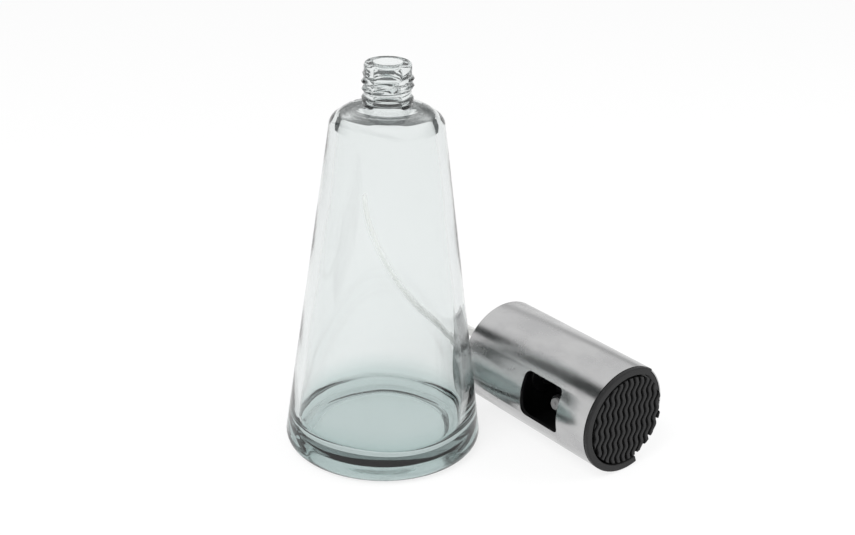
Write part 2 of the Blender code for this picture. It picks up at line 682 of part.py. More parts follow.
def make_button(slide, black, rubber):
    """The button and its ribbed pad. The ribs are waves that run across the spray's direction."""
    bore = BUTTON_RADIUS - BUTTON_WALL
    deck = BUTTON_TOP - BUTTON_DECK
    turned("push_button", rounded([
        (0.0, ARM_TOP + SEAT_GAP),
        (BUTTON_BOSS_RADIUS, ARM_TOP + SEAT_GAP, 0.0004),
        (BUTTON_BOSS_RADIUS, deck, 0.0008),
        (bore, deck, 0.0010),
        (bore, BUTTON_BOTTOM, 0.0003),
        (BUTTON_RADIUS, BUTTON_BOTTOM, 0.0003),
        (BUTTON_RADIUS, BUTTON_TOP, 0.0005),
        (0.0, BUTTON_TOP),
    ], False), SLEEVE_FACETS, black, slide)

    spare = RIB_PITCH
    pad = turned("button_pad", block(0.0, PAD_RADIUS + spare, PAD_BOTTOM, PAD_BOTTOM + PAD_BASE),
                 SLEEVE_FACETS, rubber, slide)
    boolean(pad, make_ribs(slide), "UNION")
    trim = turned("pad_trim", block(0.0, PAD_RADIUS, PAD_BOTTOM - spare, PAD_CREST + spare),
                  SLEEVE_FACETS, None, slide)
    boolean(pad, trim, "INTERSECT")


def make_ribs(slide):
    """All the pad's ribs as one mesh: a trapezium carried along a wave, once for each rib."""
    count = int(2 * PAD_RADIUS / RIB_PITCH)
    steps = WAVE_STEPS * int(2 * PAD_RADIUS / RIB_WAVE_LENGTH + 1)
    reach = PAD_RADIUS + RIB_PITCH / 2
    sunk = PAD_BASE / 2
    root = RIB_ROOT_WIDTH / 2
    crest = RIB_CREST_WIDTH / 2
    section = [(-root, -sunk), (root, -sunk), (crest, RIB_HEIGHT), (-crest, RIB_HEIGHT)]
    ribs = bmesh.new()
    for rib in range(count):
        across = (rib - (count - 1) / 2) * RIB_PITCH
        path = []
        for step in range(steps + 1):
            along = reach * (2 * step / steps - 1)
            swing = RIB_WAVE_SWING * math.sin(2 * math.pi * along / RIB_WAVE_LENGTH)
            path.append(Vector((across + swing, along, PAD_BOTTOM + PAD_BASE)))
        part = swept_mesh(path, section)
        mesh = bpy.data.meshes.new("rib")
        part.to_mesh(mesh)
        part.free()
        ribs.from_mesh(mesh)
        bpy.data.meshes.remove(mesh)
    return add_object("pad_ribs", ribs, None, slide)


def make_head():
    """The head in its own frame: its axis lies along Y, and the whole is rolled on the table."""
    steel = finish("brushed_steel", (0.62, 0.62, 0.62), 0.32, 1.0)
    black = finish("black_plastic", (0.022, 0.022, 0.022), 0.45)
    rubber = finish("black_rubber", (0.030, 0.030, 0.031), 0.62)
    clear_plastic = finish("natural_plastic", (0.80, 0.81, 0.80), 0.35)
    white_plastic = finish("white_plastic", (0.78, 0.78, 0.77), 0.40)
    grey_plastic = finish("grey_plastic", (0.42, 0.42, 0.42), 0.40)
    spring_steel = finish("spring_steel", (0.55, 0.55, 0.56), 0.25, 1.0)

    head_axis = frame("head_axis", (HEAD_X, OPEN_END_Y, SLEEVE_RADIUS), (math.radians(90), 0.0, 0.0))
    head = frame("head_roll", (0.0, 0.0, 0.0), (0.0, 0.0, HEAD_ROLL), head_axis)
    slide = frame("button_slide", (0.0, 0.0, 0.0), (0.0, 0.0, 0.0), head)
    make_casing(head, steel, black)
    make_closure(head, black, rubber)
    make_pump_body(head, clear_plastic, black, rubber, spring_steel)
    make_dip_tube(head_axis, clear_plastic)
    make_spring(head, spring_steel)
    make_stem(slide, clear_plastic, rubber, spring_steel)
    make_spray_arm(slide, black, grey_plastic, white_plastic)
    make_button(slide, black, rubber)


def main():
    clear_scene()
    make_bottle(finish("green_tinted_glass", (0.70, 0.80, 0.79), 0.04))
    make_head()
    print("bottle axis at", round(BOTTLE_X, 5), round(BOTTLE_Y, 5))
    print("head axis at x", round(HEAD_X, 5), "open end at y", round(OPEN_END_Y, 5))


main()
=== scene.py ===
# %% [markdown]
# # An oil sprayer: a glass bottle, with its pump head lying beside it
#
# The bottle is a cone of thick, faintly blue-green glass with a screw neck. Its head is a steel
# tube round a finger pump, taken off so that the bottle can be filled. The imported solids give
# every piece its place and size. This script gives the pieces that show a fine surface, and
# gives every piece a finish.

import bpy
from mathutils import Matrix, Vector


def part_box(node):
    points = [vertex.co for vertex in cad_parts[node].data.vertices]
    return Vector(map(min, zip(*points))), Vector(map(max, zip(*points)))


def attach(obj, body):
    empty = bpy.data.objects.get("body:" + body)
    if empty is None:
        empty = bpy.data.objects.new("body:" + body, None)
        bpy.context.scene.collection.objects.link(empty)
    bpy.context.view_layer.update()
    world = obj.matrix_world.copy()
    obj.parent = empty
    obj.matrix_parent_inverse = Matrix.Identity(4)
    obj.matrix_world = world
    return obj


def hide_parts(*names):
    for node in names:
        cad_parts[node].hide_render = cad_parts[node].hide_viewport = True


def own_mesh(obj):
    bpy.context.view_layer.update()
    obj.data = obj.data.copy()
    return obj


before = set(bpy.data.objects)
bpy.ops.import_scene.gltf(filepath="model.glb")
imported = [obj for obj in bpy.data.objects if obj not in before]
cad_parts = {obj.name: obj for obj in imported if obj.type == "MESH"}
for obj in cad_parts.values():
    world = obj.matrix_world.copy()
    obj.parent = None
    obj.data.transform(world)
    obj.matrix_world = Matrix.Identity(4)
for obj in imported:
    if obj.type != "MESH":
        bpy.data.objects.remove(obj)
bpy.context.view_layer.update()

# %% The tools used below
import cmath
import math

import bmesh
import bpy
from mathutils import Matrix, Vector

# %% [markdown]
# ## Where things stand
#
# A piece could be placed by eye, but then it would drift from the solids that carry it. So the
# axes, and most places along them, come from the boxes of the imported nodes. The bottle turns
# about a vertical axis. The head
# lies along Y, so it has its own space in which Z runs from the open end to the button and X
# points out through the spray window. One matrix takes a piece from that space to the table.

# %% The bottle's axis and the head's own space
bottle_low, bottle_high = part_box("bottle")
BOTTLE_AXIS = ((bottle_low + bottle_high) / 2).xy
BOTTLE_HEIGHT = bottle_high.z
FOOT_RADIUS = 0.0408

sleeve_low, sleeve_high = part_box("steel_sleeve")
SLEEVE_RADIUS = 0.02258
SLEEVE_LENGTH = sleeve_high.y - sleeve_low.y
HEAD_X = (sleeve_low.x + sleeve_high.x) / 2
OPEN_END_Y = sleeve_high.y
HEAD_ROLL = math.radians(174.0)
AT_BOTTLE = Matrix.Translation((*BOTTLE_AXIS, 0.0))
ALONG_HEAD = Matrix.Translation((HEAD_X, OPEN_END_Y, SLEEVE_RADIUS)) @ Matrix.Rotation(math.pi / 2, 4, "X")
IN_HEAD = ALONG_HEAD @ Matrix.Rotation(HEAD_ROLL, 4, "Z")
print("sleeve length", round(SLEEVE_LENGTH, 5), "head axis at x", round(HEAD_X, 5))


def stretch(node):
    """Where a node starts and ends along the head's axis, from the open end."""
    low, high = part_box(node)
    return OPEN_END_Y - high.y, OPEN_END_Y - low.y


# %% [markdown]
# ## Turned shapes
#
# Glass, steel tube and moulded rings are all turned shapes: one outline carried round an axis.
# Blender's Screw modifier would do that, but the thread, the bare band and the waves of blown
# glass all change the radius from place to place. So a short function makes the mesh point by
# point, and lets a second function change the radius. An outline is a list of corners. Each
# corner may have a radius, which becomes a fine arc, and long straight runs are split so that
# they can bend. Pieces whose runs stay straight are left unsplit.

# %% Corners to a fine outline
ARC_STEP = math.radians(9)
ARC_SHARE = 0.49
RUN = 0.0012
UNSPLIT = 1.0


def outline(corners, closed=True, run=RUN):
    """Turn corners (across, along, radius) into points, with arcs at the corners."""
    points = []
    count = len(corners)
    for i, corner in enumerate(corners):
        radius = corner[2] if len(corner) > 2 else 0.0
        if radius == 0.0 or (not closed and i in (0, count - 1)):
            points.append(complex(*corner[:2]))
            continue
        here = complex(*corner[:2])
        back = complex(*corners[i - 1][:2]) - here
        ahead = complex(*corners[(i + 1) % count][:2]) - here
        turn = math.pi - abs(cmath.phase(ahead / back))
        reach = min(radius * math.tan(turn / 2), ARC_SHARE * abs(back), ARC_SHARE * abs(ahead))
        radius = reach / math.tan(turn / 2)
        start = here + back / abs(back) * reach
        inwards = back / abs(back) + ahead / abs(ahead)
        middle = here + inwards / abs(inwards) * radius / math.cos(turn / 2)
        sweep = cmath.phase((here + ahead / abs(ahead) * reach - middle) / (start - middle))
        steps = max(3, round(turn / ARC_STEP))
        points += [middle + (start - middle) * cmath.exp(1j * sweep * k / steps) for k in range(steps + 1)]
    split = []
    for point, following in zip(points, points[1:] + points[:1] if closed else points[1:]):
        pieces = max(1, math.ceil(abs(following - point) / run))
        split += [point + (following - point) * k / pieces for k in range(pieces)]
    if not closed:
        split.append(points[-1])
    return [(point.real, point.imag) for point in split]


# %% A mesh becomes a piece
def add_piece(name, maker, place, sharp=35.0):
    """A bmesh becomes a named object, put in place and shaded smooth up to its sharp edges."""
    bmesh.ops.recalc_face_normals(maker, faces=maker.faces)
    if maker.calc_volume(signed=True) < 0.0:
        bmesh.ops.reverse_faces(maker, faces=maker.faces)
    mesh = bpy.data.meshes.new(name)
    maker.to_mesh(mesh)
    maker.free()
    mesh.transform(place)
    mesh.shade_smooth()
    mesh.set_sharp_from_angle(angle=math.radians(sharp))
    piece = bpy.data.objects.new(name, mesh)
    bpy.context.scene.collection.objects.link(piece)
    return piece


# %% An outline carried round an axis
ON_AXIS = 1e-7


def turned(name, points, turns, place, swell=None, sharp=35.0):
    """Carry an outline (radius, height) round Z. swell(radius, height, angle, k) may change a radius."""
    maker = bmesh.new()
    rings = []
    for k, (radius, height) in enumerate(points):
        if radius < ON_AXIS:
            rings.append([maker.verts.new((0.0, 0.0, height))])
            continue
        ring = []
        for step in range(turns):
            angle = 2 * math.pi * step / turns
            reach = radius + (swell(radius, height, angle, k) if swell else 0.0)
            ring.append(maker.verts.new((reach * math.cos(angle), reach * math.sin(angle), height)))
        rings.append(ring)
    follow = rings[1:] + ([rings[0]] if points[0][0] > ON_AXIS else [])
    for ring, other in zip(rings, follow):
        for step in range(turns):
            ahead = (step + 1) % turns
            corners = [ring[step % len(ring)], ring[ahead % len(ring)],
                       other[ahead % len(other)], other[step % len(other)]]
            maker.faces.new(list(dict.fromkeys(corners)))
    return add_piece(name, maker, place, sharp)


# %% [markdown]
# ## Shader sums in Python
#
# A finish is easier to read as a sum than as a web of nodes. This small class wraps a socket, and
# Python's operators on it add Math nodes. Colours and vectors go through their own nodes, because
# a Math node would turn a colour grey. The second cell makes a material and gives it to a piece.

# %% A socket that can be added and multiplied
class Link:
    """A shader socket that Python's operators work on."""

    def __init__(self, tree, socket=None):
        self.tree = tree
        self.socket = socket

    def node(self, kind, settings=None, sockets=None, out=0):
        """Add a node: first its settings, then the values or links of its sockets."""
        made = self.tree.nodes.new("ShaderNode" + kind)
        for name, value in (settings or {}).items():
            setattr(made, name, value)
        for key, value in (sockets or {}).items():
            if isinstance(value, Link):
                self.tree.links.new(value.socket, made.inputs[key])
            else:
                made.inputs[key].default_value = value
        return Link(self.tree, made.outputs[out])

    def out(self, name):
        """Another output of the same node."""
        return Link(self.tree, self.socket.node.outputs[name])

    def math(self, operation, *values):
        """A Math node on numbers and links."""
        return self.node("Math", {"operation": operation}, dict(enumerate(values)))

    def __add__(self, other):
        return self.math("ADD", self, other)

    def __radd__(self, other):
        return self.math("ADD", other, self)

    def __sub__(self, other):
        return self.math("SUBTRACT", self, other)

    def __rsub__(self, other):
        return self.math("SUBTRACT", other, self)

    def __mul__(self, other):
        return self.math("MULTIPLY", self, other)

    def __rmul__(self, other):
        return self.math("MULTIPLY", other, self)

    def between(self, low, high):
        """0 below low, 1 above high, and a smooth step from one to the other."""
        return self.node("MapRange", {"interpolation_type": "SMOOTHSTEP"},
                         {"Value": self, "From Min": low, "From Max": high})

    def blend(self, first, second):
        """A colour from first to second, as this number goes from 0 to 1."""
        return self.node("Mix", {"data_type": "RGBA"}, {0: self, 6: first, 7: second}, out=2)

    def noise(self, place, scale, detail=3.0, roughness=0.5):
        """A noise between 0 and 1 at a place."""
        return self.node("TexNoise", {}, {"Vector": place, "Scale": scale, "Detail": detail,
                                          "Roughness": roughness})

    def stretched(self, place, by):
        """A place multiplied by a vector, to draw a noise out."""
        return self.node("VectorMath", {"operation": "MULTIPLY"}, {0: place, 1: by})


# %% A material with its Principled shader
def finish(name, colour, roughness, **uniform):
    """A material. What is the same all over is set on the shader's own sockets."""
    material = bpy.data.materials.new(name)
    material.use_nodes = True
    shader = material.node_tree.nodes["Principled BSDF"]
    shader.inputs["Base Color"].default_value = (*colour, 1.0)
    shader.inputs["Roughness"].default_value = roughness
    for socket, value in uniform.items():
        shader.inputs[socket.replace("_", " ")].default_value = value
    start = Link(material.node_tree)
    place = start.node("TexCoord", out="Object")
    return material, start, place


def feed(material, socket, link):
    """Lead a value that changes over the surface to the shader."""
    shader = material.node_tree.nodes["Principled BSDF"]
    material.node_tree.links.new(link.socket, shader.inputs[socket])


def bump(start, height, distance, strength=1.0):
    """A Bump node for the shader's Normal. The distance is the relief's depth in metres."""
    return start.node("Bump", {}, {"Height": height, "Distance": distance, "Strength": strength})


def dress(piece, material, body, slot, *nodes):
    """Give a piece its finish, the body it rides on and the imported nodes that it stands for."""
    piece.data.materials.append(material)
    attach(piece, body)
    if nodes:
        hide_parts(*nodes)
    print(piece.name, len(piece.data.polygons), "faces")
    return piece


# %% [markdown]
# ## The glass bottle's outside
#
# The bottle is blown in a mould: a cone on a rounded heel, a soft shoulder, then a neck with a
# ring and a screw thread. The base is pushed up in the middle, so that the bottle stands on a
# ring. A turned outline gives all of this but the thread, in one closed wall.

# %% The outside of the glass in section
HEEL_ROUND = 0.0064
SHOULDER = (0.0220, 0.1380)
SHOULDER_ROUND = 0.0052
DOME = (0.0157, 0.1427)
DOME_ROUND = 0.012
NECK_RADIUS = 0.0091
NECK_ROOT = (NECK_RADIUS, 0.1433)
NECK_ROOT_ROUND = 0.0012
BEAD_RADIUS = 0.0099
BEAD_HEIGHT = 0.1458
BEAD_HALF = 0.0009
BEAD_ROUND = 0.0008
BEAD_FOOT_ROUND = 0.0004
LIP_ROUND = 0.0014
MOUTH_ROUND = 0.0008
PUSH_UP = 0.0022
PUSH_UP_SLOPE = 0.0044
PUSH_UP_ROUND = 0.006
BEARING_INNER = 0.0304
BEARING_ROUND = 0.0010
BORE_RADIUS = 0.0056
OUTSIDE_RUN = 0.0007

outside = outline([
    (0.0, PUSH_UP),
    (BEARING_INNER - PUSH_UP_SLOPE, PUSH_UP, PUSH_UP_ROUND),
    (BEARING_INNER, 0.0, BEARING_ROUND),
    (FOOT_RADIUS, 0.0, HEEL_ROUND),
    (*SHOULDER, SHOULDER_ROUND),
    (*DOME, DOME_ROUND),
    (*NECK_ROOT, NECK_ROOT_ROUND),
    (NECK_RADIUS, BEAD_HEIGHT - BEAD_HALF, BEAD_FOOT_ROUND),
    (BEAD_RADIUS, BEAD_HEIGHT - BEAD_HALF, BEAD_ROUND),
    (BEAD_RADIUS, BEAD_HEIGHT + BEAD_HALF, BEAD_ROUND),
    (NECK_RADIUS, BEAD_HEIGHT + BEAD_HALF, BEAD_FOOT_ROUND),
    (NECK_RADIUS, BOTTLE_HEIGHT, LIP_ROUND),
    (BORE_RADIUS, BOTTLE_HEIGHT, MOUTH_ROUND),
], False, run=OUTSIDE_RUN)
print("points outside", len(outside))

# %% [markdown]
# ## The inside of the glass
#
# Air blows the inside, so no mould touches it. Here the wall is about 4 mm, rounder inside the
# shoulder and thicker at the base. That is more than the solid's wall: with a thin wall the
# shoulder showed dark wedges, and a thick, round one is free of them. The floor of the inside is
# slightly squarish, which shows through the wall as a dark line.

# %% The inside of the glass in section
SHOULDER_WALL = 0.0040
SHOULDER_DROP = 0.0010
INNER_SHOULDER_ROUND = 0.0060
MOUTH_DEPTH = 0.0010
DOME_WALL = 0.0030
DOME_DROP = 0.0034
BORE_DROP = 0.0024
BORE_ROUND = 0.0025
INNER_FLOOR = 0.0080
FLOOR_ROUND = 0.0060
INSIDE_RUN = 0.0014
slope = (SHOULDER[0] - FOOT_RADIUS) / SHOULDER[1]
inner_shoulder = (SHOULDER[0] - SHOULDER_WALL, SHOULDER[1] - SHOULDER_DROP)
inner_foot = inner_shoulder[0] + slope * (INNER_FLOOR - inner_shoulder[1])
inside = outline([
    (BORE_RADIUS, BOTTLE_HEIGHT - MOUTH_DEPTH),
    (BORE_RADIUS, DOME[1] - BORE_DROP, BORE_ROUND),
    (DOME[0] - DOME_WALL, DOME[1] - DOME_DROP, DOME_ROUND),
    (*inner_shoulder, INNER_SHOULDER_ROUND),
    (inner_foot, INNER_FLOOR, FLOOR_ROUND),
    (0.0, INNER_FLOOR),
], False, run=INSIDE_RUN)
print("points inside", len(inside))

# %% [markdown]
# ## Thread, bare band and waves
#
# The thread is one ridge that winds about two turns up the neck. Low on the front, the mould has
# a shallow band with crisp edges. Both could be cut or swept as shapes of their own, but both are
# only changes of the radius: a round hump along a rising line, and a step with one soft end. So a
# function of height and angle gives them, and the inside's faint waves and squarish floor too.

# %% The thread
THREAD_PITCH = 0.0027
THREAD_START = math.radians(122)
THREAD_LOW = 0.14966
THREAD_TURNS = 2.1
THREAD_HALF = 0.00095
THREAD_HEIGHT = 0.00095
THREAD_FULLNESS = 0.8
THREAD_FADE = math.radians(35)


def ramp(value, low, high):
    """A smooth step from 0 at low to 1 at high."""
    share = min(max((value - low) / (high - low), 0.0), 1.0)
    return share * share * (3 - 2 * share)


def thread(height, angle):
    """The thread's height above the neck."""
    most = 0.0
    length = 2 * math.pi * THREAD_TURNS
    for turn in range(math.ceil(THREAD_TURNS) + 1):
        along = angle - THREAD_START + 2 * math.pi * turn
        if 0.0 < along < length:
            middle = THREAD_LOW + THREAD_PITCH * along / (2 * math.pi)
            away = abs(height - middle) / THREAD_HALF
            if away < 1.0:
                ends = ramp(along, 0.0, THREAD_FADE) * ramp(length - along, 0.0, THREAD_FADE)
                most = max(most, THREAD_HEIGHT * ends * math.cos(away * math.pi / 2) ** THREAD_FULLNESS)
    return most


# %% The inside's waves and squarish floor
SQUARISH = 0.0011
SQUARE_TURN = 0.9
SQUARE_TOP = 0.030
WAVES = 0.00007
WAVE_SHAPES = ((1.0, 2, 61, 0.0), (0.7, 3, -97, 1.3), (0.5, 5, 173, 4.0))
WAVES_START = (0.010, 0.018)


def swell_inside(radius, height, angle):
    """The inner wall waves below the shoulder and is squarish near the floor."""
    if height > SHOULDER[1]:
        return 0.0
    wave = sum(share * math.sin(around * angle + up * height + first)
               for share, around, up, first in WAVE_SHAPES)
    low = 1 - ramp(height, INNER_FLOOR, SQUARE_TOP)
    corners = 0.5 - 0.5 * math.cos(4 * angle + SQUARE_TURN)
    return ramp(radius, *WAVES_START) * (WAVES * wave - SQUARISH * low * corners)


# %% The bare band, and all changes of the radius together
BAND = (0.0097, 0.0187)
BAND_ANGLES = (math.radians(172), math.radians(258))
BAND_DEPTH = 0.00022
BAND_EDGE = 0.0003
BAND_START_FADE = 0.02
BAND_END_FADE = 0.5
BAND_WITHIN = 0.034
THREAD_WITHIN = 0.008
LIP_EDGE = 0.0012


def swell_band(height, angle):
    """The band is sunk by the same depth all over, with crisp edges and one soft end."""
    across = ramp(height, BAND[0], BAND[0] + BAND_EDGE) * ramp(-height, -BAND[1], -BAND[1] + BAND_EDGE)
    start = ramp(angle, BAND_ANGLES[0], BAND_ANGLES[0] + BAND_START_FADE)
    end = ramp(-angle, -BAND_ANGLES[1], -BAND_ANGLES[1] + BAND_END_FADE)
    along = start * end
    return -BAND_DEPTH * across * along


def swell_glass(radius, height, angle, k):
    """The change of the glass's radius at a point."""
    if k >= len(outside):
        return swell_inside(radius, height, angle)
    if BOTTLE_HEIGHT - LIP_EDGE > height > BEAD_HEIGHT + BEAD_HALF and radius > THREAD_WITHIN:
        return thread(height, angle)
    if radius > BAND_WITHIN:
        return swell_band(height, angle)
    return 0.0


# %% Make the bottle
GLASS_TURNS = 192
bottle = turned("glass_bottle", outside + inside, GLASS_TURNS, AT_BOTTLE, swell_glass, sharp=60.0)

# %% [markdown]
# ## The glass finish
#
# Plain bottle glass is clear, with a blue-green cast that shows where it is thick, at the base and
# along the edges. A tint on the surface would be the same for thin and thick. So a volume takes some
# light for each millimetre of glass, red a little more than the rest. The foot's surface colour is
# also darker towards the bottom: partly the thick glass's deeper tint, partly painted shade for the
# dim light under the bottle. A very low bump keeps the reflections from being too perfect.

# %% The glass material
CLEAR_GLASS = (0.96, 0.975, 0.972, 1.0)
# The foot's colour is partly the thick glass's own deeper tint and partly painted shade from under the
# bottle.
FOOT_TINT_AND_SHADE = (0.68, 0.79, 0.78, 1.0)
FOOT_TINT_AND_SHADE_ENDS = (0.006, 0.024)
ABSORBED_PER_METRE = 60.0
glass, start, place = finish("green_tinted_glass", (0.97, 0.975, 0.975), 0.0,
                             Transmission_Weight=1.0, IOR=1.5)
height = start.node("SeparateXYZ", {}, {0: place}).out("Z")
# Darker towards the foot: painted shade, together with the thick glass's tint.
feed(glass, "Base Color", height.between(*FOOT_TINT_AND_SHADE_ENDS).blend(FOOT_TINT_AND_SHADE, CLEAR_GLASS))
ripple = start.noise(start.stretched(place, (1.0, 1.0, 0.45)), 38.0, 2.0)
feed(glass, "Normal", bump(start, ripple, 0.0006, 0.35))
tint = start.node("VolumeAbsorption", {}, {"Color": (0.70, 0.73, 0.73, 1.0), "Density": ABSORBED_PER_METRE})
output = glass.node_tree.nodes["Material Output"]
glass.node_tree.links.new(tint.socket, output.inputs["Volume"])
dress(bottle, glass, "bottle", "glass", "bottle")

# %% [markdown]
# ## Moulded plastics and soft rubber
#
# The rim, liner and closure are matt polypropylene with the fine grain of a spark-eroded mould.
# The seals are a softer, slightly greyer elastomer. The pump's body, its stem and the dip tube are
# undyed and let light through, which a low alpha gives more simply than a cloudy volume. Grain
# this fine is a bump of a high-frequency noise. Handling leaves colour and gloss uneven, which a
# low-frequency noise gives. One function makes them all, because only their numbers differ.

# %% The moulded finishes
CLOUD_SCALE = 90.0
GRAIN_SCALE = 5200.0
GRAIN_STRENGTH = 0.6
MILKY_ALPHA = 0.3


def moulded(name, colour, worn, rough, rougher, grain, **uniform):
    """A matt moulded material: uneven in colour and gloss, with a fine grain."""
    material, start, place = finish(name, colour, rough, Specular_IOR_Level=0.3, **uniform)
    cloud = start.noise(place, CLOUD_SCALE)
    speck = start.noise(place, GRAIN_SCALE, 2.0)
    feed(material, "Base Color", cloud.between(0.35, 0.75).blend((*colour, 1.0), (*worn, 1.0)))
    feed(material, "Roughness", rough + (rougher - rough) * cloud)
    feed(material, "Normal", bump(start, speck, grain, GRAIN_STRENGTH))
    return material


black_plastic = moulded("black_plastic", (0.007, 0.007, 0.0075), (0.012, 0.012, 0.0125),
                        0.42, 0.58, 0.00003)
soft_rubber = moulded("soft_rubber", (0.012, 0.012, 0.0125), (0.018, 0.018, 0.0185),
                      0.55, 0.72, 0.00004)
rim_plastic = moulded("rim_plastic", (0.012, 0.012, 0.0125), (0.016, 0.016, 0.0165),
                      0.48, 0.62, 0.00004)
white_plastic = moulded("white_plastic", (0.72, 0.72, 0.71), (0.78, 0.78, 0.77),
                        0.35, 0.48, 0.00002)
milky_plastic = moulded("milky_plastic", (0.80, 0.80, 0.78), (0.84, 0.84, 0.82),
                        0.35, 0.45, 0.00001, Alpha=MILKY_ALPHA)
grey_plastic = moulded("grey_plastic", (0.17, 0.17, 0.17), (0.23, 0.23, 0.23),
                       0.40, 0.55, 0.00002)
print("materials so far", len(bpy.data.materials))

# %% [markdown]
# ## The brushed steel tube
#
# The sleeve is half a millimetre of stainless sheet, brushed round the tube. Brushing leaves
# short scratches that run one way. A noise drawn out along that way gives them as a faint bump and
# as streaks in the roughness, and a second, larger noise adds the smudges of a handled tube. From
# afar such scratches blur a reflection across themselves and leave it sharp along them. Modelling
# each scratch would take far too fine a mesh, so the shader's anisotropy does it. It takes its
# direction from the piece's own Z axis, and a quarter turn lays the scratches round the tube.

# %% The steel materials
SCRATCH_STRETCH = (60.0, 60.0, 3000.0)
SMUDGE_STRETCH = (1.0, 1.0, 0.6)
SMUDGE_SCALE = 75.0
QUARTER_TURN = 0.25
steel, start, place = finish("brushed_steel", (0.60, 0.60, 0.60), 0.24, Metallic=1.0,
                             Anisotropic=0.5, Anisotropic_Rotation=QUARTER_TURN)
scratch = start.noise(start.stretched(place, SCRATCH_STRETCH), 1.0, 4.0, 0.6)
smudge = start.noise(start.stretched(place, SMUDGE_STRETCH), SMUDGE_SCALE, 4.0, 0.6)
handled = smudge.between(0.3, 0.8).blend((0.54, 0.54, 0.54, 1.0), (0.46, 0.46, 0.465, 1.0))
feed(steel, "Base Color", handled)
feed(steel, "Roughness", 0.19 + 0.06 * scratch + 0.08 * smudge.between(0.45, 0.7))
feed(steel, "Normal", bump(start, scratch, 0.00001, 0.5))

wire_steel, start, place = finish("wire_steel", (0.60, 0.60, 0.61), 0.2, Metallic=1.0)
feed(wire_steel, "Roughness", 0.12 + 0.2 * start.noise(place, 900.0))
print("steel materials", steel.name, wire_steel.name)

# %% [markdown]
# ## The sleeve, with its window and finger cut
#
# The tube is cut from a welded pipe. A window is punched for the spray, and the rim is lowered
# opposite it so that a finger can push the button flush. Holes could be left out of the mesh as it
# is made, but their round corners would fight its rings. So two cutters cut the finished tube, and
# a small bevel breaks the cut edges, as deburring does.

# %% The two cutters
SLEEVE_TURNS = 256
STEEL_WALL = 0.0005
WINDOW = (0.0363, 0.0580)
WINDOW_HALF = 0.0099
WINDOW_CORNER = 0.0026
FINGER_ANGLE = math.radians(131)
FINGER_DEPTH = 0.0020
FINGER_REACH = 1.4
FINGER_STEPS = 24
RIM_WIDTH = 0.0030


def slab(name, points, low, high, place):
    """A flat outline given a thickness, as a cutter."""
    maker = bmesh.new()
    floor = maker.faces.new([maker.verts.new((x, y, low)) for x, y in points])
    grown = bmesh.ops.extrude_face_region(maker, geom=[floor])
    moved = [item for item in grown["geom"] if isinstance(item, bmesh.types.BMVert)]
    bmesh.ops.translate(maker, verts=moved, vec=(0, 0, high - low))
    return add_piece(name, maker, place)


def window_cutter(margin):
    """The window's rounded block. It points out along X."""
    half = WINDOW_HALF + margin
    low = WINDOW[0] - margin
    high = WINDOW[1] + margin
    corners = [(-half, low), (half, low), (half, high), (-half, high)]
    points = outline([(*corner, WINDOW_CORNER + margin) for corner in corners], run=UNSPLIT)
    upright = Matrix(((0, 0, 1, 0), (1, 0, 0, 0), (0, 1, 0, 0), (0, 0, 0, 1)))
    return slab("window_cutter", points, SLEEVE_RADIUS / 2, SLEEVE_RADIUS * 1.5, IN_HEAD @ upright)


def finger_cutter():
    """A wedge that lowers the rim opposite the window."""
    reach = SLEEVE_RADIUS * FINGER_REACH
    points = [(0.0, 0.0)]
    for step in range(FINGER_STEPS + 1):
        angle = math.pi + FINGER_ANGLE * (step / FINGER_STEPS - 0.5)
        points.append((reach * math.cos(angle), reach * math.sin(angle)))
    return slab("finger_cutter", points, SLEEVE_LENGTH - FINGER_DEPTH, SLEEVE_LENGTH + 0.01, IN_HEAD)


# %% Cutting a piece and easing its edges
def bake(piece):
    """Apply a piece's modifiers."""
    bpy.context.view_layer.update()
    evaluated = piece.evaluated_get(bpy.context.evaluated_depsgraph_get())
    mesh = bpy.data.meshes.new_from_object(evaluated)
    piece.modifiers.clear()
    piece.data = mesh
    mesh.shade_smooth()
    mesh.set_sharp_from_angle(angle=math.radians(35))


def cut(piece, *cutters, operation="DIFFERENCE"):
    """Cut a piece with each cutter, keep the result as its mesh and throw the cutters away."""
    for cutter in cutters:
        modifier = piece.modifiers.new("cut", "BOOLEAN")
        modifier.operation = operation
        modifier.solver = "EXACT"
        modifier.object = cutter
    bake(piece)
    for cutter in cutters:
        bpy.data.objects.remove(cutter)


def ease_edges(piece, width):
    """Break a piece's sharp edges with a narrow round."""
    modifier = piece.modifiers.new("ease", "BEVEL")
    modifier.width = width
    modifier.segments = 2
    modifier.limit_method = "ANGLE"
    modifier.angle_limit = math.radians(50)
    bake(piece)


# %% Make the sleeve, with its mesh in the head's space for the anisotropy
STEEL_EASE = 0.00012
inner_radius = SLEEVE_RADIUS - STEEL_WALL
sleeve = turned("steel_sleeve_tube", outline([
    (inner_radius, 0.0),
    (SLEEVE_RADIUS, 0.0),
    (SLEEVE_RADIUS, SLEEVE_LENGTH),
    (inner_radius, SLEEVE_LENGTH),
], run=UNSPLIT), SLEEVE_TURNS, IN_HEAD)
cut(sleeve, window_cutter(0.0), finger_cutter())
ease_edges(sleeve, STEEL_EASE)
sleeve.data.transform(ALONG_HEAD.inverted())
sleeve.matrix_world = ALONG_HEAD
dress(sleeve, steel, "head", "steel", "steel_sleeve")

# %% [markdown]
# ## The liner and the rim
#
# A black liner backs the steel, carries the pump on a bulkhead and shows as the dark inside of the
# window. A rim in nearly the same black closes the front edge and guides the button. Both are
# round mouldings, so both are turned. The tube's own cutters cut them, the liner's window a little
# wider than the steel's.

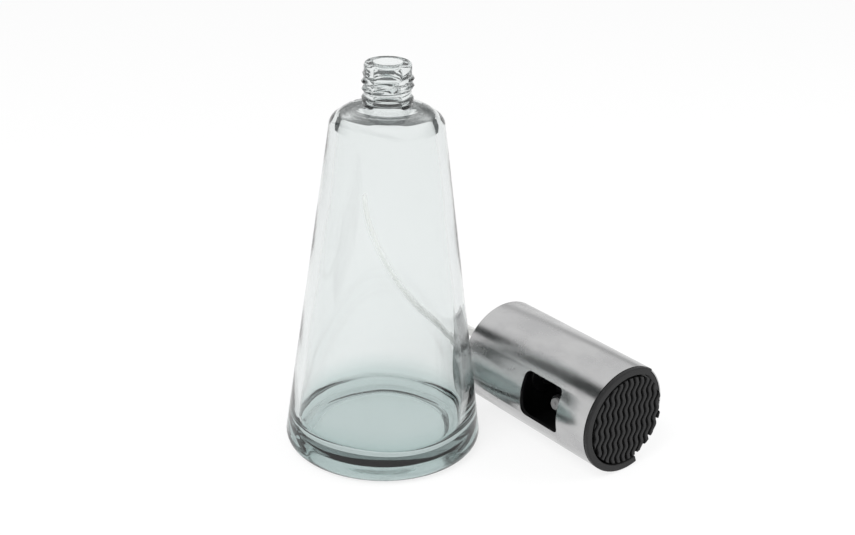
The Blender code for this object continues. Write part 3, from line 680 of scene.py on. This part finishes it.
# %% Make the liner
LINER_GAP = 0.0003
LINER_RADIUS = SLEEVE_RADIUS - STEEL_WALL - LINER_GAP
LINER_BORE = LINER_RADIUS - 0.0013
NECK_HOLE = 0.0048
SOCKET_BORE = 0.0129
SOCKET_OUTER = 0.0141
SOCKET_DEPTH = 0.0120
BULKHEAD = 0.0016
FINE_ROUND = 0.0003
EDGE_ROUND = 0.0004
CORNER_ROUND = 0.0006
WINDOW_MARGIN = 0.0004
liner_start, liner_end = stretch("sleeve_liner")
closure_start, closure_end = stretch("screw_closure")
bulkhead = closure_end + LINER_GAP
liner = turned("liner_tube", outline([
    (LINER_RADIUS, liner_start, FINE_ROUND),
    (LINER_RADIUS, liner_end),
    (LINER_BORE, liner_end),
    (LINER_BORE, bulkhead + BULKHEAD, CORNER_ROUND),
    (NECK_HOLE, bulkhead + BULKHEAD),
    (NECK_HOLE, bulkhead),
    (SOCKET_BORE, bulkhead, EDGE_ROUND),
    (SOCKET_BORE, bulkhead - SOCKET_DEPTH, FINE_ROUND),
    (SOCKET_OUTER, bulkhead - SOCKET_DEPTH, FINE_ROUND),
    (SOCKET_OUTER, bulkhead, CORNER_ROUND),
    (LINER_BORE, bulkhead, CORNER_ROUND),
    (LINER_BORE, liner_start, FINE_ROUND),
], run=UNSPLIT), SLEEVE_TURNS, IN_HEAD)
cut(liner, window_cutter(WINDOW_MARGIN))
dress(liner, black_plastic, "head", "black_plastic", "sleeve_liner")

# %% Make the rim
GUIDE_RADIUS = SLEEVE_RADIUS - RIM_WIDTH
RIM_GAP = 0.0003
RIM_EASE = 0.00015
rim_start, rim_end = stretch("top_rim")
rim = turned("rim_ring", outline([
    (GUIDE_RADIUS, rim_start, EDGE_ROUND),
    (LINER_RADIUS, rim_start, FINE_ROUND),
    (LINER_RADIUS, SLEEVE_LENGTH + RIM_GAP),
    (SLEEVE_RADIUS, SLEEVE_LENGTH + RIM_GAP, 0.0002),
    (SLEEVE_RADIUS, rim_end, CORNER_ROUND),
    (GUIDE_RADIUS, rim_end, EDGE_ROUND),
], run=UNSPLIT), SLEEVE_TURNS, IN_HEAD)
cut(rim, finger_cutter())
ease_edges(rim, RIM_EASE)
dress(rim, rim_plastic, "head", "black_plastic", "top_rim")

# %% [markdown]
# ## The button's ribbed pad
#
# The pad's ribs are the part a finger feels: about a dozen rubber waves side by side, with
# rounded crests and narrow grooves. A displaced disc would blur the crests. So the mesh is a fine
# grid whose lines follow the waves, where a crest is always a row of points. It is then trimmed
# to a disc.

# %% The wavy slab
PAD_RADIUS = 0.0187
PAD_BASE = 0.0005
PAD_SPARE = 0.002
RIB_HEIGHT = 0.0018
RIB_PITCH = 0.0030
RIB_WAVE_LENGTH = 0.0070
RIB_WAVE_SWING = 0.0006
RIB_ROOT_HALF = 0.0010
RIB_CREST_HALF = 0.0008
ROOT_ROUND = 0.0002
CREST_ROUND = 0.0004
RIB_RUN = 0.0005
WAVE_STEPS = 130
pad_start, pad_end = stretch("button_pad")


def rib_section():
    """One rib and half of the groove on each side, as (across, up) points."""
    half = RIB_PITCH / 2
    return outline([
        (-half, 0.0),
        (-RIB_ROOT_HALF, 0.0, ROOT_ROUND),
        (-RIB_CREST_HALF, RIB_HEIGHT, CREST_ROUND),
        (RIB_CREST_HALF, RIB_HEIGHT, CREST_ROUND),
        (RIB_ROOT_HALF, 0.0, ROOT_ROUND),
        (half, 0.0),
    ], False, run=RIB_RUN)


def wavy_slab(name):
    """A square slab with ribs on top, larger than the pad."""
    count = int(2 * PAD_RADIUS / RIB_PITCH) + 2
    section = []
    for rib in range(count):
        shift = (rib - (count - 1) / 2) * RIB_PITCH
        section += [(x + shift, y) for x, y in rib_section()[:-1]]
    section.append((count * RIB_PITCH / 2, 0.0))
    reach = PAD_RADIUS + RIB_PITCH / 2
    maker = bmesh.new()
    rows = []
    for step in range(WAVE_STEPS + 1):
        along = reach * (2 * step / WAVE_STEPS - 1)
        swing = RIB_WAVE_SWING * math.sin(2 * math.pi * along / RIB_WAVE_LENGTH)
        top = [maker.verts.new((x + swing, along, pad_start + PAD_BASE + y)) for x, y in section]
        ends = (section[-1], section[0])
        floor = [maker.verts.new((x + swing, along, pad_start - PAD_SPARE)) for x, y in ends]
        rows.append(top + floor)
    for row, following in zip(rows, rows[1:]):
        for k in range(len(row)):
            j = (k + 1) % len(row)
            maker.faces.new((row[k], row[j], following[j], following[k]))
    maker.faces.new(rows[0])
    maker.faces.new(reversed(rows[-1]))
    return add_piece(name, maker, IN_HEAD)


# %% Trim the slab to a disc
PAD_TURNS = 192
pad = wavy_slab("ribbed_pad")
trim = turned("pad_trim", outline([
    (0.0, pad_start),
    (PAD_RADIUS, pad_start, ROOT_ROUND),
    (PAD_RADIUS, pad_end + PAD_SPARE),
    (0.0, pad_end + PAD_SPARE),
], False, run=UNSPLIT), PAD_TURNS, IN_HEAD)
cut(pad, trim, operation="INTERSECT")

# %% [markdown]
# ## The pad's finish
#
# The pad's grooves look almost black in the photo. An even rubber colour would leave them lighter
# under the studio's white world. So the colour is painted with shade that deepens below the crests,
# and the rubber gets duller there too. The head lies along Y, so depth below the crests is a
# distance along Y.

# %% The ribbed rubber, with painted shade in its grooves
# The colour at the bottom of the grooves is painted shade; the crest colour is the rubber's own.
GROOVE_PAINTED_SHADE = (0.0005, 0.0005, 0.0005, 1.0)
CREST_COLOUR = (0.016, 0.016, 0.0165, 1.0)
GROOVE_SHADE_START = 0.0002
GROOVE_SHADE_SHARE = 0.75
shaded_pad_rubber, start, place = finish("ribbed_rubber_groove_shade", (0.014, 0.014, 0.0145), 0.6, Specular_IOR_Level=0.25)
depth = start.node("SeparateXYZ", {}, {0: place}).out("Y")
crest = OPEN_END_Y - pad_end
# How deep a point lies in a groove sets the painted shade and the duller rubber.
groove = depth.between(crest + GROOVE_SHADE_START, crest + RIB_HEIGHT * GROOVE_SHADE_SHARE)
feed(shaded_pad_rubber, "Base Color", groove.blend(CREST_COLOUR, GROOVE_PAINTED_SHADE))
feed(shaded_pad_rubber, "Roughness", 0.55 + 0.40 * groove)
feed(shaded_pad_rubber, "Normal", bump(start, start.noise(place, GRAIN_SCALE, 2.0), 0.00004, GRAIN_STRENGTH))
dress(pad, shaded_pad_rubber, "button", "rubber", "button_pad")

# %% [markdown]
# ## The closure with its inner thread
#
# The closure screws onto the bottle, so its wall has the thread that the solids leave out. The
# ridge winds round the bore as the neck's does. It shows when one looks into the open end. It is a
# change of the radius like the neck's, so the closure is turned too.

# %% Make the screw closure
CLOSURE_BORE = 0.0104
CLOSURE_RADIUS = 0.0126
CLOSURE_TURNS = 128
CLOSURE_RUN = 0.0003
DECK = 0.0020
DECK_ROUND = 0.0005
INNER_THREAD = (0.0070, 0.0165)
INNER_THREAD_HEIGHT = 0.0007
INNER_THREAD_FADE = 0.001
ON_BORE = 0.00002


def swell_closure(radius, height, angle, k):
    """The inner thread: a ridge that stands in from the bore."""
    if abs(radius - CLOSURE_BORE) > ON_BORE:
        return 0.0
    ridge = max(math.cos(2 * math.pi * height / THREAD_PITCH - angle), 0.0) ** 2
    start = ramp(height, INNER_THREAD[0], INNER_THREAD[0] + INNER_THREAD_FADE)
    end = ramp(-height, -INNER_THREAD[1], -INNER_THREAD[1] + INNER_THREAD_FADE)
    return -INNER_THREAD_HEIGHT * ridge * start * end


closure = turned("threaded_closure", outline([
    (CLOSURE_BORE, closure_start, EDGE_ROUND),
    (CLOSURE_RADIUS, closure_start, EDGE_ROUND),
    (CLOSURE_RADIUS, closure_end, CORNER_ROUND),
    (NECK_HOLE, closure_end),
    (NECK_HOLE, closure_end - DECK),
    (CLOSURE_BORE, closure_end - DECK, DECK_ROUND),
], run=CLOSURE_RUN), CLOSURE_TURNS, IN_HEAD, swell_closure)
dress(closure, black_plastic, "head", "black_plastic", "screw_closure")

# %% [markdown]
# ## The dip tube
#
# A soft, milky tube that keeps the curl of its reel. It is so thin and clear that it almost
# disappears against the white ground. A curve with a bevel would give the outside only. So one
# helper sweeps rings along a path, outside and inside, and joins the walls at the ends.

# %% Sweeping a tube or a wire
def sweep(name, path, radii, sides, place):
    """A round wire or tube along a path of (point, across, up), with one wall or two."""
    maker = bmesh.new()
    circle = [2 * math.pi * k / sides for k in range(sides)]
    walls = []
    for radius in radii:
        walls.append([[maker.verts.new(point + radius * (across * math.cos(angle) + up * math.sin(angle)))
                       for angle in circle] for point, across, up in path])
    for rings in walls:
        for ring, following in zip(rings, rings[1:]):
            for k in range(sides):
                j = (k + 1) % sides
                maker.faces.new((ring[k], ring[j], following[j], following[k]))
    for end in (0, -1):
        if len(walls) == 1:
            maker.faces.new(walls[0][end])
            continue
        outer, inner = walls[0][end], walls[1][end]
        for k in range(sides):
            j = (k + 1) % sides
            maker.faces.new((outer[k], outer[j], inner[j], inner[k]))
    return add_piece(name, maker, place)


# %% Make the dip tube
TUBE_RADIUS = 0.0020
TUBE_BORE = 0.0013
TUBE_SIDES = 24
TUBE_STRAIGHT = 0.0300
STRAIGHT_STEPS = 8
TUBE_CURL_RADIUS = 0.0900
TUBE_CURL_LENGTH = 0.0865
CURL_STEPS = 60
tube_top = stretch("dip_tube")[1]


def tube_path():
    """The straight run, then the curl, which rises off the table."""
    sideways = Vector((1.0, 0.0, 0.0))
    path = []
    for k in range(STRAIGHT_STEPS):
        point = Vector((0.0, 0.0, tube_top - TUBE_STRAIGHT * k / STRAIGHT_STEPS))
        path.append((point, sideways, Vector((0.0, 1.0, 0.0))))
    for step in range(CURL_STEPS + 1):
        turn = TUBE_CURL_LENGTH / TUBE_CURL_RADIUS * step / CURL_STEPS
        point = Vector((0.0, TUBE_CURL_RADIUS * (1 - math.cos(turn)),
                        tube_top - TUBE_STRAIGHT - TUBE_CURL_RADIUS * math.sin(turn)))
        path.append((point, sideways, Vector((0.0, math.cos(turn), math.sin(turn)))))
    return path


tube = sweep("curled_tube", tube_path(), (TUBE_RADIUS, TUBE_BORE), TUBE_SIDES, ALONG_HEAD)
dress(tube, milky_plastic, "head", "natural_plastic", "dip_tube")

# %% [markdown]
# ## The return spring
#
# Round stainless wire, wound in six turns that lie flat at both ends. It stands in the pump's
# chamber under the stem, and the button shortens it. A stack of rings would lack the slope of the
# wire, so the wire is swept along a helix.

# %% Make the return spring
WIRE_RADIUS = 0.00025
WIRE_SIDES = 10
COIL_RADIUS = 0.0026
COIL_TURNS = 6
STEPS_PER_TURN = 36
FLAT_SHARE = 0.08
spring_start, spring_end = stretch("return_spring")


def coil_path():
    """A helix whose first and last half turns lie flat."""
    steps = COIL_TURNS * STEPS_PER_TURN
    low = spring_start + WIRE_RADIUS
    high = spring_end - WIRE_RADIUS
    path = []
    for step in range(steps + 1):
        share = step / steps
        turn = 2 * math.pi * COIL_TURNS * share
        rise = low + (high - low) * min(max((share - FLAT_SHARE) / (1 - 2 * FLAT_SHARE), 0.0), 1.0)
        across = Vector((math.cos(turn), math.sin(turn), 0.0))
        path.append((COIL_RADIUS * across + Vector((0.0, 0.0, rise)), across, Vector((0.0, 0.0, 1.0))))
    return path


spring = sweep("coiled_spring", coil_path(), (WIRE_RADIUS,), WIRE_SIDES, IN_HEAD)
dress(spring, wire_steel, "head", "spring_steel", "return_spring")
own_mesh(spring)

# %% [markdown]
# ## The nozzle
#
# The only light thing inside the window is the grey nozzle: a small cup pressed over the spray
# arm, with a dimple round its hole. It is round, so it is turned, about the arm's own axis, which
# points out through the window.

# %% Make the nozzle
NOZZLE_TIP = 0.0176
NOZZLE_RADIUS = 0.00245
NOZZLE_LENGTH = 0.0051
NOZZLE_WALL = 0.00095
NOZZLE_FLOOR = 0.0012
NOZZLE_TURNS = 64
NOZZLE_RUN = 0.0004
SPRAY_HOLE = 0.00025
DIMPLE = ((0.0009, 0.00015), (0.0012, 0.0))
DIMPLE_DEPTH = 0.0006
nozzle_middle = sum(stretch("nozzle_insert")) / 2
AT_NOZZLE = IN_HEAD @ Matrix.Translation((0.0, 0.0, nozzle_middle)) @ Matrix.Rotation(math.pi / 2, 4, "Y")
nozzle = turned("nozzle_cup", outline([
    (SPRAY_HOLE, NOZZLE_TIP - DIMPLE_DEPTH),
    (DIMPLE[0][0], NOZZLE_TIP - DIMPLE[0][1], 0.0002),
    (DIMPLE[1][0], NOZZLE_TIP - DIMPLE[1][1], 0.0002),
    (NOZZLE_RADIUS, NOZZLE_TIP, 0.0005),
    (NOZZLE_RADIUS, NOZZLE_TIP - NOZZLE_LENGTH, 0.0002),
    (NOZZLE_RADIUS - NOZZLE_WALL, NOZZLE_TIP - NOZZLE_LENGTH, 0.0001),
    (NOZZLE_RADIUS - NOZZLE_WALL, NOZZLE_TIP - NOZZLE_FLOOR),
    (SPRAY_HOLE, NOZZLE_TIP - NOZZLE_FLOOR),
], run=NOZZLE_RUN), NOZZLE_TURNS, AT_NOZZLE)
dress(nozzle, grey_plastic, "button", "grey_plastic", "nozzle_insert")

# %% [markdown]
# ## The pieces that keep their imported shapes
#
# The button's cap, the arm and the pump's inner pieces are plain enough for the solids to serve
# as they are. Remaking them would only add chances to drift, so they get a finish and no new mesh.

# %% Keep the other nodes' shapes and give them finishes
NODE_FINISHES = {
    "neck_gasket": soft_rubber, "pump_housing": milky_plastic, "inlet_ball": wire_steel,
    "retaining_collar": black_plastic, "stem_seal": soft_rubber, "pump_stem": milky_plastic,
    "outlet_ball": wire_steel, "piston": soft_rubber, "spray_arm": black_plastic,
    "swirl_pin": white_plastic, "push_button": black_plastic,
}
for name, material in NODE_FINISHES.items():
    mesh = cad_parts[name].data
    mesh.materials.clear()
    mesh.materials.append(material)
print("finishes on", len(NODE_FINISHES), "nodes")

# %% [markdown]
# ## The table
#
# The photograph's ground is plain white. A white floor under enough light to look white would
# bleach the object. So the camera and mirror rays see the floor mostly as a white glow, and rays
# through glass see it half as one. The rest of the floor's colour is paint, which keeps the
# shadow.

# %% A white table
TABLE_HALF = 2.0
TABLE_DROP = 0.0004
GLOW_SEEN = 0.80
GLOW_THROUGH_GLASS = 0.50
WHITE = (1.0, 1.0, 1.0, 1.0)
maker = bmesh.new()
bmesh.ops.create_grid(maker, x_segments=1, y_segments=1, size=TABLE_HALF)
floor = add_piece("table", maker, Matrix.Translation((0.0, 0.0, -TABLE_DROP)))
table, start, place = finish("white_table", (0.86, 0.86, 0.86), 0.9)
light_path = start.node("LightPath")
seen = start.math("MAXIMUM", light_path.out("Is Camera Ray"), light_path.out("Is Glossy Ray"))
through_glass = light_path.out("Is Transmission Ray")
seen = start.math("MAXIMUM", GLOW_SEEN * seen, GLOW_THROUGH_GLASS * through_glass)
glow = start.node("Emission", {}, {"Color": WHITE, "Strength": 1.0})
paint = Link(table.node_tree, table.node_tree.nodes["Principled BSDF"].outputs[0])
mixed = start.node("MixShader", {}, {0: seen, 1: paint, 2: glow})
table.node_tree.links.new(mixed.socket, table.node_tree.nodes["Material Output"].inputs["Surface"])
floor.data.materials.append(table)

# %% [markdown]
# ## The world
#
# Glass and steel show what stands round them, so a plain white world would leave both without
# lines. A photographer sets up dark cards. As meshes they would throw shadows too, so here they are
# painted on the world, and only mirror and glass rays see them. A strong card runs along Y, high
# on the side of -X, for the long dark band on the tube. A weaker one is low on the side of +X.
# Rays through glass also see a dark band low in the sky on the far side, for the bottle's dark
# lines. The camera sees plain white, and all other rays an even light.

# %% The world's directions and its dark cards
LEFT_CARD = (1.90, 2.10, 2.42, 2.45)
RIGHT_CARD = (0.15, 0.35, 0.45, 0.65)
RIGHT_CARD_SHARE = 0.45
CARD_COLOUR = (0.03, 0.035, 0.035, 1.0)
world = bpy.data.worlds.new("studio")
bpy.context.scene.world = world
world.use_nodes = True
studio = Link(world.node_tree)
toward = studio.node("SeparateXYZ", {}, {0: studio.node("TexCoord", out="Generated")})
x, y, z = toward, toward.out("Y"), toward.out("Z")
light_path = studio.node("LightPath")
camera_ray = light_path.out("Is Camera Ray")
through_glass = light_path.out("Is Transmission Ray")
mirrored = studio.math("MAXIMUM", light_path.out("Is Glossy Ray"), through_glass)
round_y = studio.math("ARCTAN2", z, x)
dark = round_y.between(*LEFT_CARD[:2]) * (1 - round_y.between(*LEFT_CARD[2:]))
dark = dark + RIGHT_CARD_SHARE * round_y.between(*RIGHT_CARD[:2]) * (1 - round_y.between(*RIGHT_CARD[2:]))
colour = dark.blend(WHITE, CARD_COLOUR)
print("cards between the angles", LEFT_CARD, RIGHT_CARD)

# %% The band behind the bottle, and what each kind of ray sees
AWAY = (0.62, 0.78)
AWAY_EDGE = 0.15
BAND_TOP = (0.20, 0.45)
BAND_SHARE = 0.93
HORIZON_COLOUR = (0.02, 0.03, 0.03, 1.0)
ROOM_LIGHT = 0.85
behind = (AWAY[0] * x + AWAY[1] * y).between(-AWAY_EDGE, AWAY_EDGE)
horizon = (1 - z.between(*BAND_TOP)) * behind * BAND_SHARE * through_glass
colour = horizon.blend(colour, HORIZON_COLOUR)
room = studio.node("Background", {}, {"Color": WHITE, "Strength": ROOM_LIGHT})
cards = studio.node("Background", {}, {"Color": colour, "Strength": 1.0})
white = studio.node("Background", {}, {"Color": WHITE, "Strength": 1.0})
lit = studio.node("MixShader", {}, {0: mirrored, 1: room, 2: cards})
sky = studio.node("MixShader", {}, {0: camera_ray, 1: lit, 2: white})
world.node_tree.links.new(sky.socket, world.node_tree.nodes["World Output"].inputs["Surface"])
print("world nodes", len(world.node_tree.nodes))

# %% [markdown]
# ## The lamps
#
# The photo's shadows are faint and soft, so two large softboxes do little more than give the
# shapes a light side. Mirror and glass rays don't see them, because a square of light would show
# in the tube and in the glass.

# %% Two softboxes
LAMP_TARGET = Vector((0.0, 0.0, 0.05))
LAMP_SIZE = 0.5


def soft_lamp(name, place, power):
    """A square softbox that faces the object."""
    lamp = bpy.data.lights.new(name, "AREA")
    lamp.shape = "SQUARE"
    lamp.size = LAMP_SIZE
    lamp.energy = power
    made = bpy.data.objects.new(name, lamp)
    made.location = place
    made.rotation_euler = (LAMP_TARGET - Vector(place)).to_track_quat("-Z", "Y").to_euler()
    made.visible_glossy = False
    made.visible_transmission = False
    bpy.context.scene.collection.objects.link(made)
    print(name, power, "W")


soft_lamp("key_softbox", (-0.55, -0.25, 0.75), 6.0)
soft_lamp("fill_softbox", (0.6, -0.5, 0.5), 2.5)

# %% [markdown]
# ## The camera
#
# The camera stands where the photograph's stood, worked out from the outlines of the bottle and
# the tube. It looks down by 23 degrees, and leans very slightly. Pointing it at a target would
# lose the lean, so its matrix is built from its own right, up and back.

# %% Place the camera
CAMERA_OFFSET = Vector((-0.3018, -0.4074, 0.2955))
CAMERA_PLACE = Vector((*BOTTLE_AXIS, 0.0)) + CAMERA_OFFSET
CAMERA_HEADING = Vector((0.6216, 0.7833, 0.0))
CAMERA_PITCH = math.radians(23.37)
CAMERA_LEAN = math.radians(1.5636)
LENS_MM = 58.42
SENSOR_MM = 36.0
lens = bpy.data.cameras.new("camera")
lens.lens = LENS_MM
lens.sensor_width = SENSOR_MM
camera = bpy.data.objects.new("camera", lens)
bpy.context.scene.collection.objects.link(camera)
ahead = CAMERA_HEADING.normalized() * math.cos(CAMERA_PITCH) - Vector((0, 0, math.sin(CAMERA_PITCH)))
level = ahead.cross(Vector((0, 0, 1))).normalized()
upright = level.cross(ahead)
right = level * math.cos(CAMERA_LEAN) + upright * math.sin(CAMERA_LEAN)
up = upright * math.cos(CAMERA_LEAN) - level * math.sin(CAMERA_LEAN)
turned_camera = Matrix((right, up, -ahead)).transposed().to_4x4()
camera.matrix_world = Matrix.Translation(CAMERA_PLACE) @ turned_camera
bpy.context.scene.camera = camera
bpy.context.scene.view_settings.view_transform = "Standard"
print("camera at", [round(value, 4) for value in CAMERA_PLACE])
